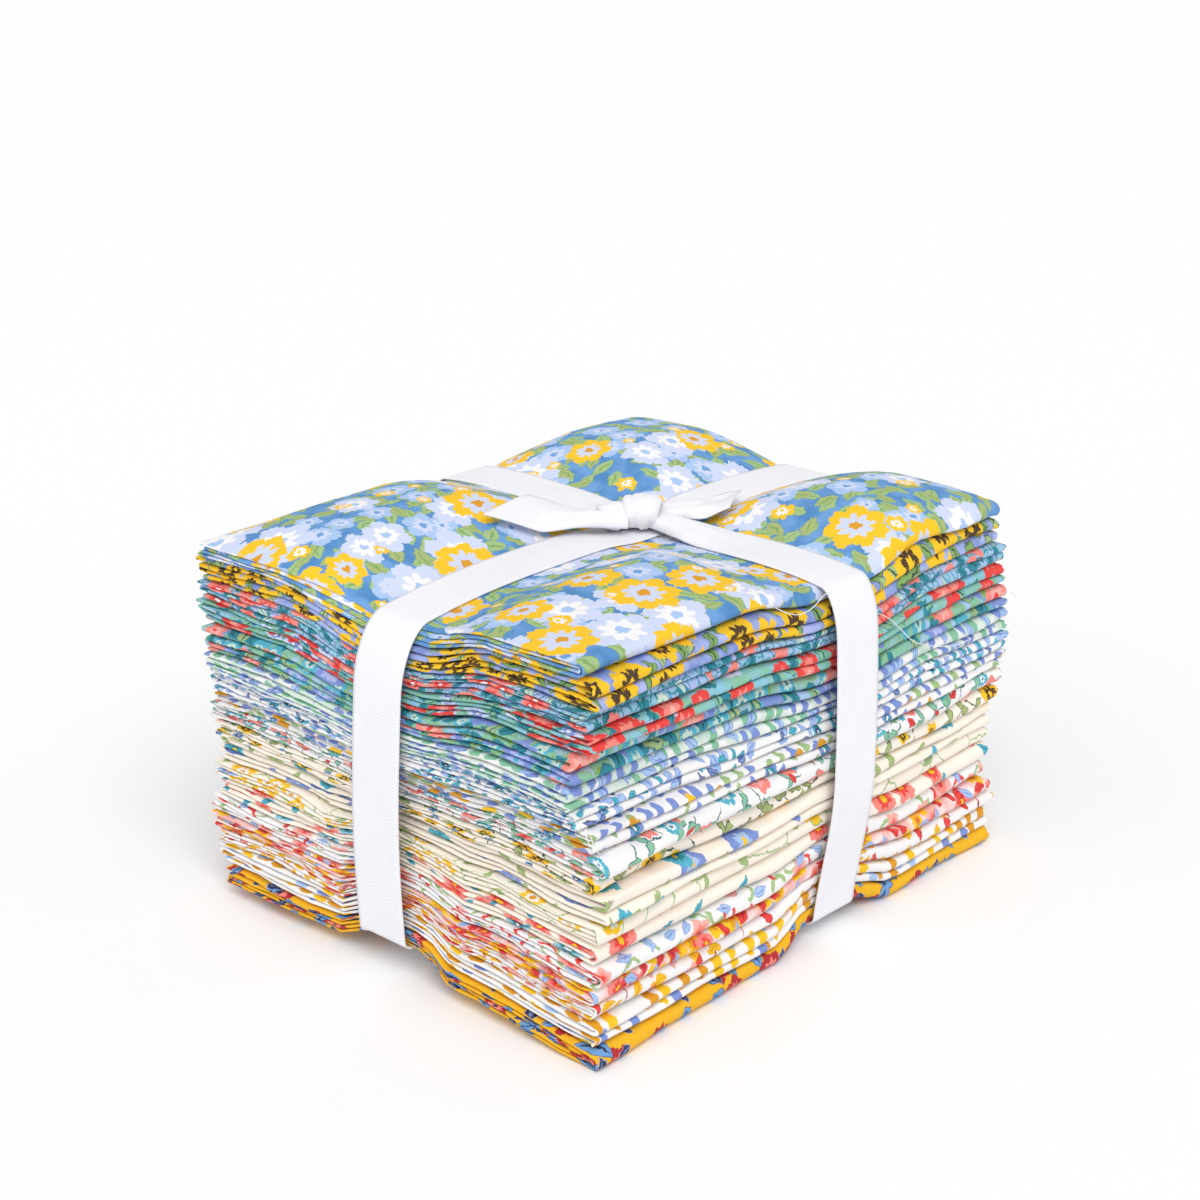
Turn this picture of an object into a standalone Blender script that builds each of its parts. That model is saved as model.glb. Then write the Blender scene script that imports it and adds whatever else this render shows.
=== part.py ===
"""Fat quarter bundle: eighteen folded cotton cuts, stacked and tied both ways with one flat ribbon.

Each cut is folded to a small oblong and lies on the next. The ribbon presses the stack down along two
lines, so that its top swells in four low pillows and its underside rises over the ribbon. X is the long
way of the stack, Y the short way, and Z is up. The origin is on the surface that the bundle stands on,
under the middle of the stack. All sizes below are in millimetres, and objects are made in metres.
"""

from math import cos, pi, sin

import bmesh
import bpy

MILLIMETRE = 0.001

# Stack
LENGTH = 160.0
WIDTH = 130.0
FOLD_GAP = 0.3
CLOTH_GAP = 0.4
SMOOTH_POWER = 4
OUTER_TURN_STEPS = 3
INNER_TURN_STEPS = 1

# Height of the top at the four corners of the stack
TOP_FRONT_LEFT = 97.6
TOP_FRONT_RIGHT = 96.3
TOP_BACK_LEFT = 95.6
TOP_BACK_RIGHT = 96.0
PILLOW_CROWN = 4.5

# Three of the quadrants between the ribbon lines swell more: side, way and height
PUFFS = ((1, -1, 1.6), (-1, 1, 1.5), (1, 1, 1.4))
PUFF_POWER = 6

# Ribbon, and the two lines that it presses into the stack
RIBBON_WIDTH = 16.0
RIBBON_THICKNESS = 1.0
RIBBON_CLEARANCE = 0.3
LONG_LINE_Y = -1.0
SHORT_LINE_X = 10.0
GROOVE_HALF_WIDTH = 8.5
TOP_GROOVE_REACH = 28.0
BASE_GROOVE_REACH = 15.0
TOP_DIP_CENTRE = 7.3
TOP_DIP_LEFT = 7.5
TOP_DIP_RIGHT = 4.0
TOP_DIP_FRONT = 4.2
TOP_DIP_BACK = 2.5
BASE_RISE_CENTRE = 3.3
BASE_RISE_LEFT = 8.6
BASE_RISE_RIGHT = 4.5
BASE_RISE_FRONT = 4.3
BASE_RISE_BACK = 4.0
END_LIFT_LEFT = 3.2
END_LIFT_RIGHT = 0.8
END_LIFT_REACH = 35.0
SWELL_POWER = 4

# Where the sheets bend, between the fold at each side: lines across the stack and along it
CROSS_LINES = (-48.0, -14.0, SHORT_LINE_X - GROOVE_HALF_WIDTH, SHORT_LINE_X + GROOVE_HALF_WIDTH, 34.0, 64.0)
ALONG_LINES = (-40.0, LONG_LINE_Y - GROOVE_HALF_WIDTH, LONG_LINE_Y + GROOVE_HALF_WIDTH, 40.0)

# The cuts from top to bottom. Thickness is the folded height. Rolls is the number of folds that show on
# the front, and upper is the share of the height in the upper one. Left, right, and the front and back
# at each end, say how far the cut stands out from the stack's plain outline there.
CUT_COLUMNS = ("thickness", "rolls", "upper", "left", "right", "front_left", "front_right",
               "back_left", "back_right", "colour")
CUTS = (
    (4.0, 1, 0.50, 1.0, -0.9, 0.0, -0.9, 0.5, -0.5, (0.20, 0.40, 0.62)),
    (6.3, 2, 0.54, 0.0, -1.4, 3.1, -1.0, 2.4, 0.8, (0.55, 0.60, 0.85)),
    (5.1, 2, 0.39, 0.3, 0.4, 0.6, 0.3, 1.9, 0.2, (0.40, 0.68, 0.78)),
    (5.1, 2, 0.50, 0.3, 0.6, 2.0, 0.5, 2.6, 1.4, (0.85, 0.25, 0.20)),
    (6.6, 2, 0.60, 2.2, 1.5, -2.0, 1.1, -0.7, -0.4, (0.36, 0.56, 0.38)),
    (5.6, 2, 0.64, 2.6, 1.7, -3.0, 1.4, -1.4, 1.2, (0.72, 0.82, 0.78)),
    (4.9, 2, 0.46, 1.5, 2.0, -1.8, 1.5, -1.8, 0.6, (0.78, 0.84, 0.80)),
    (5.0, 2, 0.42, -1.0, 1.9, 0.8, 1.5, 0.0, 1.8, (0.74, 0.80, 0.90)),
    (4.6, 1, 0.50, -1.4, 1.6, 3.9, 1.2, 3.2, 2.4, (0.85, 0.88, 0.82)),
    (4.2, 1, 0.50, -1.2, 0.8, 0.6, 0.7, 1.5, 0.5, (0.88, 0.85, 0.70)),
    (6.6, 2, 0.58, -2.6, -0.8, 4.0, -0.3, 1.2, 4.0, (0.90, 0.87, 0.78)),
    (4.5, 1, 0.50, -1.2, -1.1, 2.6, -0.9, 2.7, 2.2, (0.88, 0.86, 0.76)),
    (4.9, 1, 0.50, -1.4, -0.9, 1.3, -0.3, 0.6, -0.8, (0.90, 0.82, 0.74)),
    (4.6, 1, 0.50, -0.8, -1.5, 3.5, -1.3, 3.2, 1.6, (0.90, 0.74, 0.68)),
    (3.8, 1, 0.50, -0.4, 0.0, 2.1, 0.4, 3.2, 0.3, (0.88, 0.60, 0.25)),
    (3.9, 1, 0.50, -0.8, 0.6, 1.3, 0.7, 1.1, 1.3, (0.88, 0.70, 0.62)),
    (5.6, 2, 0.55, -0.7, 0.2, 2.2, 0.3, 1.4, -0.6, (0.84, 0.80, 0.60)),
    (4.4, 1, 0.50, 0.8, 0.3, 3.6, 0.5, -2.6, 0.9, (0.82, 0.55, 0.05)),
)

# Ribbon runs outside the stack, and the rounding where they bend over its edges
SIDE_RUN_X = LENGTH / 2 + 3.9
SIDE_RUN_Y = WIDTH / 2 + 3.5
EDGE_BEND = 2.5
BEND_STEPS = 4
FOOT_LEAN = 3.0
RIBBON_COLOUR = (0.86, 0.87, 0.90)
RIBBON_ROUGHNESS = 0.6
COTTON_ROUGHNESS = 0.9

# Knot
KNOT_X = 6.5
KNOT_Y = -1.5
KNOT_RADII = (8.0, 6.5, 4.2)
KNOT_WRAPS = 3
KNOT_RIDGE = 0.10
KNOT_SLANT = 0.5
KNOT_MERIDIANS = 24
KNOT_RINGS = 12
GATHERED_WIDTH = 6.5
SPREAD_LENGTH = 30.0

# The two cut ends: root, heading in degrees from +X, widths at root and tip, and the length of each edge
TAIL_COLUMNS = ("name", "root_x", "root_y", "heading", "root_width", "tip_width", "right_edge", "left_edge",
                "root_lift", "tip_lift")
TAILS = (
    ("ribbon_tail_left", -1.6, 2.6, 138.0, 9.0, 16.0, 20.0, 34.0, 3.2, 1.2),
    ("ribbon_tail_right", 17.0, -5.6, -30.0, 8.0, 15.0, 12.0, 21.0, 3.2, 2.4),
)
TAIL_STEPS = 6


def clear_scene():
    """Remove every object, so that the script starts from an empty scene."""
    for item in list(bpy.data.objects):
        bpy.data.objects.remove(item, do_unlink=True)


def cotton(name, colour, roughness):
    """A matt material of one colour."""
    material = bpy.data.materials.new(name)
    material.use_nodes = True
    shader = material.node_tree.nodes["Principled BSDF"]
    shader.inputs["Base Color"].default_value = (*colour, 1.0)
    shader.inputs["Roughness"].default_value = roughness
    shader.inputs["Metallic"].default_value = 0.0
    material.diffuse_color = (*colour, 1.0)
    return material


def ease(value):
    """Smooth step from 0 to 1."""
    value = min(max(value, 0.0), 1.0)
    return value * value * (3.0 - 2.0 * value)


def between(first, second, share):
    """Straight mix of two values."""
    return first + (second - first) * share


def groove(distance, reach):
    """1 under the ribbon, easing to 0 at reach beyond its edge."""
    return 1.0 - ease((abs(distance) - GROOVE_HALF_WIDTH) / reach)


def along_line(position, half, low_end, centre, high_end):
    """Depth along a pressed line: centre in the middle, growing with the square of the way to each end."""
    end = low_end if position < 0.0 else high_end
    return centre + (end - centre) * min(abs(position) / half, 1.0) ** 2


def pressed(x, y, reach, depths):
    """Depth of the two crossing grooves at a point, each as deep as its own line says."""
    left, right, front, back, centre = depths
    long_depth = along_line(x, LENGTH / 2, left, centre, right) * groove(y - LONG_LINE_Y, reach)
    short_depth = along_line(y, WIDTH / 2, front, centre, back) * groove(x - SHORT_LINE_X, reach)
    return (long_depth ** SMOOTH_POWER + short_depth ** SMOOTH_POWER) ** (1 / SMOOTH_POWER)


def puff(x, y):
    """Extra swell of a quadrant: nearly level, and falling to 0 at the ribbon lines and the stack's sides."""
    for side, way, height in PUFFS:
        share_x = (side * (x - SHORT_LINE_X) - GROOVE_HALF_WIDTH) / (LENGTH / 2 - side * SHORT_LINE_X - GROOVE_HALF_WIDTH)
        share_y = (way * (y - LONG_LINE_Y) - GROOVE_HALF_WIDTH) / (WIDTH / 2 - way * LONG_LINE_Y - GROOVE_HALF_WIDTH)
        if 0.0 < share_x < 1.0 and 0.0 < share_y < 1.0:
            return height * (1.0 - abs(2 * share_x - 1) ** PUFF_POWER) * (1.0 - abs(2 * share_y - 1) ** PUFF_POWER)
    return 0.0


def top_height(x, y):
    """Top of the stack: a sheet through the four corner heights, swollen in the middle and pressed."""
    across = min(max(x / LENGTH + 0.5, 0.0), 1.0)
    back = min(max(y / WIDTH + 0.5, 0.0), 1.0)
    front_edge = between(TOP_FRONT_LEFT, TOP_FRONT_RIGHT, across)
    back_edge = between(TOP_BACK_LEFT, TOP_BACK_RIGHT, across)
    swell_x = 1.0 - min(abs(2 * x / LENGTH), 1.0) ** SWELL_POWER
    swell_y = 1.0 - min(abs(2 * y / WIDTH), 1.0) ** SWELL_POWER
    depths = (TOP_DIP_LEFT, TOP_DIP_RIGHT, TOP_DIP_FRONT, TOP_DIP_BACK, TOP_DIP_CENTRE)
    dip = pressed(x, y, TOP_GROOVE_REACH, depths)
    return between(front_edge, back_edge, back) + PILLOW_CROWN * swell_x * swell_y + puff(x, y) - dip


def base_height(x, y):
    """Underside of the stack: flat where it rests, raised over the ribbon and at both ends."""
    depths = (BASE_RISE_LEFT, BASE_RISE_RIGHT, BASE_RISE_FRONT, BASE_RISE_BACK, BASE_RISE_CENTRE)
    left_lift = END_LIFT_LEFT * ease((CROSS_LINES[0] - x) / (LENGTH / 2 + CROSS_LINES[0]))
    right_lift = END_LIFT_RIGHT * ease((x - CROSS_LINES[-1]) / (LENGTH / 2 - CROSS_LINES[-1]))
    end_lift = max(left_lift, right_lift) * ease((y + WIDTH / 2) / END_LIFT_REACH)
    return max(pressed(x, y, BASE_GROOVE_REACH, depths), end_lift)


STACK_HEIGHT = sum(row[0] for row in CUTS) + CLOTH_GAP * (len(CUTS) - 1)


def settle(x, y, level):
    """A point of the loose, level stack, moved to where the tied stack holds it, in metres."""
    low = base_height(x, y)
    height = low + (top_height(x, y) - low) * level / STACK_HEIGHT
    return (x * MILLIMETRE, y * MILLIMETRE, height * MILLIMETRE)


def on_sheet(x, y, height_of, cut):
    """Height of a flat-faced sheet at a point: the sheet bends only along its lines and patch diagonals."""
    columns = (-LENGTH / 2 - cut["left"], *CROSS_LINES, LENGTH / 2 + cut["right"])
    rows = (-WIDTH / 2 + cut["thickness"] / 2, *ALONG_LINES, WIDTH / 2)
    column = max(index for index in range(len(columns) - 1) if index == 0 or columns[index] <= x)
    row = max(index for index in range(len(rows) - 1) if index == 0 or rows[index] <= y)
    left, right, front, back = columns[column], columns[column + 1], rows[row], rows[row + 1]
    across = min(max((x - left) / (right - left), 0.0), 1.0)
    along = min(max((y - front) / (back - front), 0.0), 1.0)
    near, far = height_of(left, front), height_of(right, back)
    if along >= across:
        side = height_of(left, back)
        return near + (side - near) * along + (far - side) * across
    side = height_of(right, front)
    return near + (side - near) * across + (far - side) * along


TOP_CUT = dict(zip(CUT_COLUMNS, CUTS[0]))
BOTTOM_CUT = dict(zip(CUT_COLUMNS, CUTS[-1]))


def add_body(name, rings, closed, material):
    """One closed body from rings of points: open rows of rings get a face at each end.

    Each patch between two rings is cut into triangles from its low y corner on the first ring, so that
    bent patches of neighbouring bodies stay parallel.
    """
    sheet = bmesh.new()
    rows = [[sheet.verts.new(point) for point in ring] for ring in rings]
    pairs = list(zip(rows, rows[1:] + rows[:1])) if closed else list(zip(rows, rows[1:]))
    for first, second in pairs:
        for index in range(len(first)):
            following = (index + 1) % len(first)
            corners = [first[index], first[following], second[following], second[index]]
            if first[index].co.y > first[following].co.y:
                corners = corners[1:] + corners[:1]
            sheet.faces.new(corners[:3])
            sheet.faces.new((corners[0], corners[2], corners[3]))
    if not closed:
        sheet.faces.new(rows[0])
        sheet.faces.new(rows[-1])
    bmesh.ops.recalc_face_normals(sheet, faces=sheet.faces)
    mesh = bpy.data.meshes.new(name)
    sheet.to_mesh(mesh)
    sheet.free()
    mesh.materials.append(material)
    body = bpy.data.objects.new(name, mesh)
    bpy.context.scene.collection.objects.link(body)
    return body


def ply_levels(cut, base_level):
    """Levels of the two faces of every ply, from the top ply down, in the loose stack."""
    level = base_level + cut["thickness"]
    shares = (cut["upper"], 1.0 - cut["upper"]) if cut["rolls"] == 2 else (1.0,)
    roll_heights = [(cut["thickness"] - FOLD_GAP * (len(shares) - 1)) * share for share in shares]
    plies = []
    for height in roll_heights:
        ply = (height - FOLD_GAP) / 2
        for _ in range(2):
            plies.append((level, level - ply))
            level -= ply + FOLD_GAP
    return plies


def bend(edge, outward, top_level, bottom_level, inset, steps):
    """Half round turn from one level to another: its crest is inset from the edge line."""
    middle = (top_level + bottom_level) / 2
    radius = (top_level - bottom_level) / 2
    points = []
    for step in range(1, steps + 1):
        angle = pi / 2 - pi * step / (steps + 1)
        points.append((edge - outward * (inset + radius) + outward * radius * cos(angle),
                       middle + radius * sin(angle)))
    return points


def cut_section(cut, base_level, front, back):
    """Closed outline of the folded cut across the stack, as pairs of y and level.

    One side of the strip runs along the top of the first ply, round the outside of the front fold and back
    under the second, and so on. The other side runs inside it, one ply thickness away.
    """
    plies = ply_levels(cut, base_level)
    sides = ([], [])
    for number, (upper, lower) in enumerate(plies):
        to_front = number % 2 == 0
        ply = upper - lower
        front_turn = front + ply + FOLD_GAP / 2
        back_turn = back - ply - FOLD_GAP / 2
        last = number == len(plies) - 1
        start = back if number == 0 else back_turn
        stop = back if last else back_turn
        line = [start if to_front else stop, *reversed(ALONG_LINES), front_turn]
        if not to_front:
            line = line[::-1]
        outside, inside = (upper, lower) if to_front else (lower, upper)
        sides[0].extend((y, outside) for y in line)
        sides[1].extend((y, inside) for y in line)
        if last:
            break
        next_upper, next_lower = plies[number + 1]
        edge, outward = (front, -1.0) if to_front else (back, 1.0)
        outer_turn = bend(edge, outward, upper, next_lower, 0.0, OUTER_TURN_STEPS)
        inner_turn = bend(edge, outward, lower, next_upper, ply, INNER_TURN_STEPS)
        sides[0].extend(outer_turn if to_front else inner_turn)
        sides[1].extend(inner_turn if to_front else outer_turn)
    return sides[0] + sides[1][::-1]


def make_cut(number, cut, base_level):
    """One folded fat quarter: its section carried across the stack, from the left end to the right."""
    left = -LENGTH / 2 - cut["left"]
    right = LENGTH / 2 + cut["right"]
    rings = []
    for x in (left, *CROSS_LINES, right):
        share = (x - left) / (right - left)
        front = -WIDTH / 2 - between(cut["front_left"], cut["front_right"], share)
        back = WIDTH / 2 + between(cut["back_left"], cut["back_right"], share)
        rings.append([settle(x, y, level) for y, level in cut_section(cut, base_level, front, back)])
    name = f"fat_quarter_{number:02d}"
    return add_body(name, rings, False, cotton(name, cut["colour"], COTTON_ROUGHNESS))


def make_cuts():
    """The stack, laid from the bottom cut up."""
    level = 0.0
    for number in range(len(CUTS), 0, -1):
        cut = dict(zip(CUT_COLUMNS, CUTS[number - 1]))
        make_cut(number, cut, level)
        level += cut["thickness"] + CLOTH_GAP


def arc(centre, start, stop):
    """Points of a quarter turn about a centre, both ends included, as pairs of distance and height."""
    points = []
    for step in range(BEND_STEPS + 1):
        angle = between(start, stop, step / BEND_STEPS)
        points.append((centre[0] + EDGE_BEND * cos(angle), centre[1] + EDGE_BEND * sin(angle)))
    return points


def side_turns(run, top, base):
    """A run down one side, as pairs of distance from the middle and height, from the top bend to the foot."""
    upper_turn = arc((run - EDGE_BEND, top - EDGE_BEND), pi / 2, 0.0)
    lower_turn = arc((run - EDGE_BEND, base + EDGE_BEND), 0.0, -pi / 2)
    return upper_turn + lower_turn


def band_ring(point, across, normal, width):
    """Four corners of a flat ribbon about a point, in metres."""
    corners = ((0.5, 0.5), (-0.5, 0.5), (-0.5, -0.5), (0.5, -0.5))
    ring = []
    for side, face in corners:
        ring.append(tuple(MILLIMETRE * (point[axis] + across[axis] * side * width
                                        + normal[axis] * face * RIBBON_THICKNESS) for axis in range(3)))
    return ring


def path_normals(path, closed):
    """Outward normals of a path in a vertical plane, as pairs for its distance and height."""
    normals = []
    for index in range(len(path)):
        before = path[index - 1] if closed or index > 0 else path[index]
        after = path[(index + 1) % len(path)] if closed or index < len(path) - 1 else path[index]
        run, rise = after[0] - before[0], after[1] - before[1]
        length = (run * run + rise * rise) ** 0.5
        normals.append((-rise / length, run / length))
    return normals


def ribbon_level(x, y):
    """Height of the middle of a ribbon that lies on the stack."""
    return on_sheet(x, y, top_height, TOP_CUT) + RIBBON_CLEARANCE + RIBBON_THICKNESS / 2


def under_level(x, y):
    """Height of the middle of a ribbon that runs under the stack, against it."""
    return on_sheet(x, y, base_height, BOTTOM_CUT) - RIBBON_CLEARANCE - RIBBON_THICKNESS / 2


def cross_slope(x, y, step_x, step_y):
    """Slope of the top sheet across a ribbon, measured between the ribbon's edges."""
    rise = ribbon_level(x + step_x, y + step_y) - ribbon_level(x - step_x, y - step_y)
    return rise / (2 * (step_x + step_y))


def make_long_loop(material):
    """The ribbon over the long way: on the top line, down both ends and back underneath, closed."""
    half = RIBBON_WIDTH / 2
    top_end = SIDE_RUN_X - EDGE_BEND
    top_xs = (-top_end, *CROSS_LINES, top_end)
    top_run = [(x, ribbon_level(x, LONG_LINE_Y)) for x in top_xs[1:-1]]
    under_run = [(x, under_level(x, LONG_LINE_Y)) for x in reversed(top_xs[1:-1])]
    ends = [side_turns(SIDE_RUN_X, ribbon_level(x, LONG_LINE_Y), under_level(x, LONG_LINE_Y))
            for x in (-top_end, top_end)]
    path = top_run + ends[1] + under_run + [(-x, z) for x, z in reversed(ends[0])]
    foot = under_level(-top_end, LONG_LINE_Y)
    head = ribbon_level(-top_end, LONG_LINE_Y)
    rings = []
    for (x, z), (along, up) in zip(path, path_normals(path, True)):
        height_share = ease((z - foot) / (head - foot))
        lean = FOOT_LEAN * ease((-x - LENGTH / 2) / EDGE_BEND) * (1.0 - height_share)
        slope = cross_slope(x, LONG_LINE_Y, 0.0, half) * height_share
        rings.append(band_ring((x, LONG_LINE_Y + lean, z), (0.0, 1.0, slope), (along, 0.0, up), RIBBON_WIDTH))
    return add_body("ribbon_long_loop", rings, True, material)


# The short loop's run over the top in front of the knot and behind it, and under the stack. Away is the
# distance from the knot's side, and lift and drop are in ribbon steps from where a single ribbon lies.
FRONT_RUN = ((0.0, 1.2), (6.0, 0.5), (12.0, 0.1), (20.0, 0.0))
BACK_RUN = ((6.0, 0.5), (0.0, 1.2))
UNDER_RUN = ((-58.0, 0.0), (-40.0, 0.0), (-22.0, 0.3), (-12.0, 1.0),
             (10.0, 1.0), (20.0, 0.3), (40.0, 0.0), (58.0, 0.0))


def make_short_loop(material):
    """The ribbon over the short way, open at the knot, where its front half is gathered to a narrow tube."""
    step = RIBBON_THICKNESS + RIBBON_CLEARANCE
    near = KNOT_Y - KNOT_RADII[1] - RIBBON_CLEARANCE
    far = KNOT_Y + KNOT_RADII[1] + RIBBON_CLEARANCE
    top_end = SIDE_RUN_Y - EDGE_BEND
    front_run = [(near - away, ribbon_level(SHORT_LINE_X, near - away) + lift * step)
                 for away, lift in FRONT_RUN]
    front_run.append((ALONG_LINES[0], ribbon_level(SHORT_LINE_X, ALONG_LINES[0])))
    back_run = [(ALONG_LINES[-1], ribbon_level(SHORT_LINE_X, ALONG_LINES[-1]))]
    back_run += [(far + away, ribbon_level(SHORT_LINE_X, far + away) + lift * step)
                 for away, lift in BACK_RUN]
    ends = [side_turns(SIDE_RUN_Y, ribbon_level(SHORT_LINE_X, y), under_level(SHORT_LINE_X, y))
            for y in (-top_end, top_end)]
    under_run = [(y, under_level(SHORT_LINE_X, y) - step * drop) for y, drop in UNDER_RUN]
    path = front_run + [(-y, z) for y, z in ends[0]] + under_run + list(reversed(ends[1])) + back_run
    rings = []
    for (y, z), (along, up) in zip(path, path_normals(path, False)):
        on_top = z > STACK_HEIGHT / 2
        spread = ease((near - y) / SPREAD_LENGTH) if on_top and y <= near else 1.0
        width = between(GATHERED_WIDTH, RIBBON_WIDTH, spread)
        slope = cross_slope(SHORT_LINE_X, y, RIBBON_WIDTH / 2, 0.0) if on_top else 0.0
        rings.append(band_ring((SHORT_LINE_X, y, z), (1.0, 0.0, slope), (0.0, -along, -up), width))
    return add_body("ribbon_short_loop", rings, False, material)


def make_knot(material):
    """The knot: a flat lump with slanting ridges where the ribbon wraps round itself."""
    lump = bmesh.new()
    bmesh.ops.create_uvsphere(lump, u_segments=KNOT_MERIDIANS, v_segments=KNOT_RINGS, radius=1.0)
    floor = ribbon_level(KNOT_X, LONG_LINE_Y) + RIBBON_THICKNESS / 2 + RIBBON_CLEARANCE
    centre = (KNOT_X, KNOT_Y, floor + KNOT_RADII[2])
    for vertex in lump.verts:
        x, y, z = vertex.co
        valley = (1.0 + cos(pi * KNOT_WRAPS * (x + KNOT_SLANT * z))) / 2
        ridge = 1.0 - KNOT_RIDGE * (1.0 - z * z) * valley
        shrunk = (x * ridge, y * ridge, z)
        vertex.co = tuple(MILLIMETRE * (centre[axis] + shrunk[axis] * KNOT_RADII[axis]) for axis in range(3))
    bmesh.ops.recalc_face_normals(lump, faces=lump.faces)
    mesh = bpy.data.meshes.new("ribbon_knot")
    lump.to_mesh(mesh)
    lump.free()
    mesh.materials.append(material)
    mesh.shade_smooth()
    knot = bpy.data.objects.new("ribbon_knot", mesh)
    bpy.context.scene.collection.objects.link(knot)
    return knot


def make_tail(tail, material):
    """A short cut end: a flat strip on the stack that widens from its root to a slanted cut."""
    angle = tail["heading"] * pi / 180
    ahead = (cos(angle), sin(angle))
    across = (-sin(angle), cos(angle))
    rings = []
    for step in range(TAIL_STEPS + 1):
        share = step / TAIL_STEPS
        half = between(tail["root_width"], tail["tip_width"], ease(share)) / 2
        lift = between(tail["root_lift"], tail["tip_lift"], ease(share)) + RIBBON_THICKNESS + RIBBON_CLEARANCE
        ring = []
        for side, length in ((1.0, tail["left_edge"]), (-1.0, tail["right_edge"])):
            x = tail["root_x"] + ahead[0] * length * share + across[0] * half * side
            y = tail["root_y"] + ahead[1] * length * share + across[1] * half * side
            low = ribbon_level(x, y) - RIBBON_THICKNESS / 2 + lift
            pair = [(x * MILLIMETRE, y * MILLIMETRE, z * MILLIMETRE) for z in (low + RIBBON_THICKNESS, low)]
            ring.extend(pair if side > 0 else pair[::-1])
        rings.append(ring)
    return add_body(tail["name"], rings, False, material)


def main():
    """Build the whole bundle."""
    clear_scene()
    make_cuts()
    ribbon = cotton("ribbon_weave", RIBBON_COLOUR, RIBBON_ROUGHNESS)
    make_long_loop(ribbon)
    make_short_loop(ribbon)
    make_knot(ribbon)
    for row in TAILS:
        make_tail(dict(zip(TAIL_COLUMNS, row)), ribbon)


main()
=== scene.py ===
# %% [markdown]
# # A bundle of fat quarters
# A fat quarter is a piece of quilting cotton, 18 by 21 inches. Shops fold each one to a small oblong,
# stack a matching set and tie it both ways with a ribbon. This lesson dresses a plain model of such a
# bundle. Every cut becomes one real folded sheet with its print on it, and the ribbon a thin woven band.

import bpy
import numpy as np
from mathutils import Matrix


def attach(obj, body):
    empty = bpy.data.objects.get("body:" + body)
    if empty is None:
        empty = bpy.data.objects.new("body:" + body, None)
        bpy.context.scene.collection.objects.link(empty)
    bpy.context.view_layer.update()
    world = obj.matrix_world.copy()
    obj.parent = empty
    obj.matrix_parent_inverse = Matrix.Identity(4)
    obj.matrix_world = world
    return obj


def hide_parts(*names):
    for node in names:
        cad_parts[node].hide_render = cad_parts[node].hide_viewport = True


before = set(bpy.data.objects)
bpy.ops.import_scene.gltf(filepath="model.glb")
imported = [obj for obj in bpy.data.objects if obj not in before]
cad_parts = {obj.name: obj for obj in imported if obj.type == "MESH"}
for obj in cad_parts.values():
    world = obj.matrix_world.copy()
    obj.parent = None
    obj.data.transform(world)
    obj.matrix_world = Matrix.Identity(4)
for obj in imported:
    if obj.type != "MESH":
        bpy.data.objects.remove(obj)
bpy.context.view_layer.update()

# %% [markdown]
# ## Sizes
# The shapes are worked out in millimetres, because cloth is, and turned into metres when a mesh is made.
# Most are the plain model's own: the stack's outline, the height of its top at each corner, and how deep
# the ribbon presses it. The three puffs between the ribbons are fuller here, as soft cloth can be.

# %% Stack and ribbon sizes
def table(columns, rows):
    """A table's rows as dictionaries. The names of its columns are the words of one string."""
    return [dict(zip(columns.split(), row)) for row in rows]


MILLIMETRE = 0.001
LENGTH, WIDTH = 160.0, 130.0
CLOTH_GAP = 0.4
TOP_CORNERS = {"front_left": 97.6, "front_right": 96.3, "back_left": 95.6, "back_right": 96.0}
PILLOW_CROWN = 4.5
SWELL_POWER = 4
PUFFS = ((1, -1, 3.3), (-1, 1, 3.0), (1, 1, 2.8))
PUFF_POWER = 6
LONG_LINE_Y, SHORT_LINE_X = -1.0, 10.0
GROOVE_HALF_WIDTH = 8.5
TOP_REACH, BASE_REACH, BASE_SPREAD = 28.0, 15.0, 35.0
TOP_DIPS = {"left": 7.5, "right": 4.0, "front": 4.2, "back": 2.5, "centre": 7.3}
BASE_RISES = {"left": 8.6, "right": 4.5, "front": 4.3, "back": 4.0, "centre": 3.3}
LEFT_LIFT, RIGHT_LIFT, LIFT_REACH = 3.2, 0.8, 35.0
LIFT_STARTS = (-48.0, 64.0)

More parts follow.
